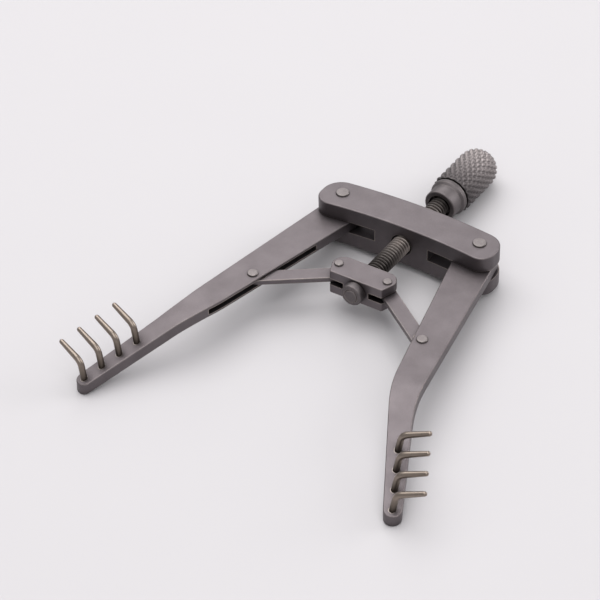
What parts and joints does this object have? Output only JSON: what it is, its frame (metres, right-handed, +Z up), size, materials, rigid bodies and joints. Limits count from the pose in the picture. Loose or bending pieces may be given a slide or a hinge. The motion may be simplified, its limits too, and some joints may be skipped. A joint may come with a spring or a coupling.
{
  "type": "self retaining retractor",
  "caption": "Screw-operated self-retaining retractor: a knurled knob drives a slider whose links spread two hinged arms ending in rows of hooked teeth.",
  "frame": {"origin": "the middle of the crossbar's flat underside, half way between the two arm pivots", "axes": "+X along the crossbar, +Y along the screw towards the knob, -Y towards the tips, +Z up, the way the teeth point"},
  "size_m": [0.0824, 0.0966, 0.0146],
  "materials": {
    "satin_steel": "matt blasted stainless steel with a faint grain and brighter worn edges",
    "rivet_steel": "peened and blasted stainless steel rivet heads",
    "wire_steel": "smooth matt stainless steel wire, slightly warm",
    "threaded_steel": "cut thread in stainless steel, darker in its roots",
    "turned_steel": "turned stainless steel with fine rings",
    "knurled_steel": "diamond-knurled stainless steel with bright points"
  },
  "bodies": {
    "crossbar": {"crossbar": "satin_steel", "pivot_rivet_left": "rivet_steel", "pivot_rivet_right": "rivet_steel"},
    "slider": {"slider_block": "satin_steel", "link_slider_pin_left": "rivet_steel", "link_slider_pin_right": "rivet_steel"},
    "screw": {"screw": "threaded_steel", "knob": "knurled_steel", "retaining_collar": "turned_steel"},
    "arm_left": {"arm_left": "satin_steel", "link_arm_pin_left": "rivet_steel", "tooth_left_1": "wire_steel", "tooth_left_2": "wire_steel", "tooth_left_3": "wire_steel", "tooth_left_4": "wire_steel"},
    "link_left": {"link_left": "satin_steel"},
    "arm_right": {"arm_right": "satin_steel", "link_arm_pin_right": "rivet_steel", "tooth_right_1": "wire_steel", "tooth_right_2": "wire_steel", "tooth_right_3": "wire_steel", "tooth_right_4": "wire_steel"},
    "link_right": {"link_right": "satin_steel"}
  },
  "joints": [
    {"name": "slider_travel", "type": "slide", "parent": "crossbar", "child": "slider", "axis": [0, -1, 0], "range_m": [-0.008, 0.0015]},
    {"name": "screw_turn", "type": "hinge", "parent": "slider", "child": "screw", "pos_m": [0, -0.018, 0.00465], "axis": [0, -1, 0], "range_deg": [-3601, 676]},
    {"name": "arm_left_pivot", "type": "hinge", "parent": "crossbar", "child": "arm_left", "pos_m": [-0.016, 0, 0.00465], "axis": [0, 0, -1], "range_deg": [-28.05, 5.3]},
    {"name": "link_left_pivot", "type": "hinge", "parent": "slider", "child": "link_left", "pos_m": [-0.0056, -0.018, 0.00465], "axis": [0, 0, -1], "range_deg": [-54, 10.2]},
    {"name": "arm_right_pivot", "type": "hinge", "parent": "crossbar", "child": "arm_right", "pos_m": [0.016, 0, 0.00465], "axis": [0, 0, 1], "range_deg": [-28.05, 5.3]},
    {"name": "link_right_pivot", "type": "hinge", "parent": "slider", "child": "link_right", "pos_m": [0.0056, -0.018, 0.00465], "axis": [0, 0, 1], "range_deg": [-54, 10.2]}
  ],
  "couplings": [
    {"joint": "screw_turn", "follows": "slider_travel", "rad_per_m": 7854},
    {"joint": "arm_left_pivot", "follows": "slider_travel", "rad_per_m": 61.087},
    {"joint": "link_left_pivot", "follows": "slider_travel", "rad_per_m": 117.64},
    {"joint": "arm_right_pivot", "follows": "slider_travel", "rad_per_m": 61.087},
    {"joint": "link_right_pivot", "follows": "slider_travel", "rad_per_m": 117.64}
  ]
}
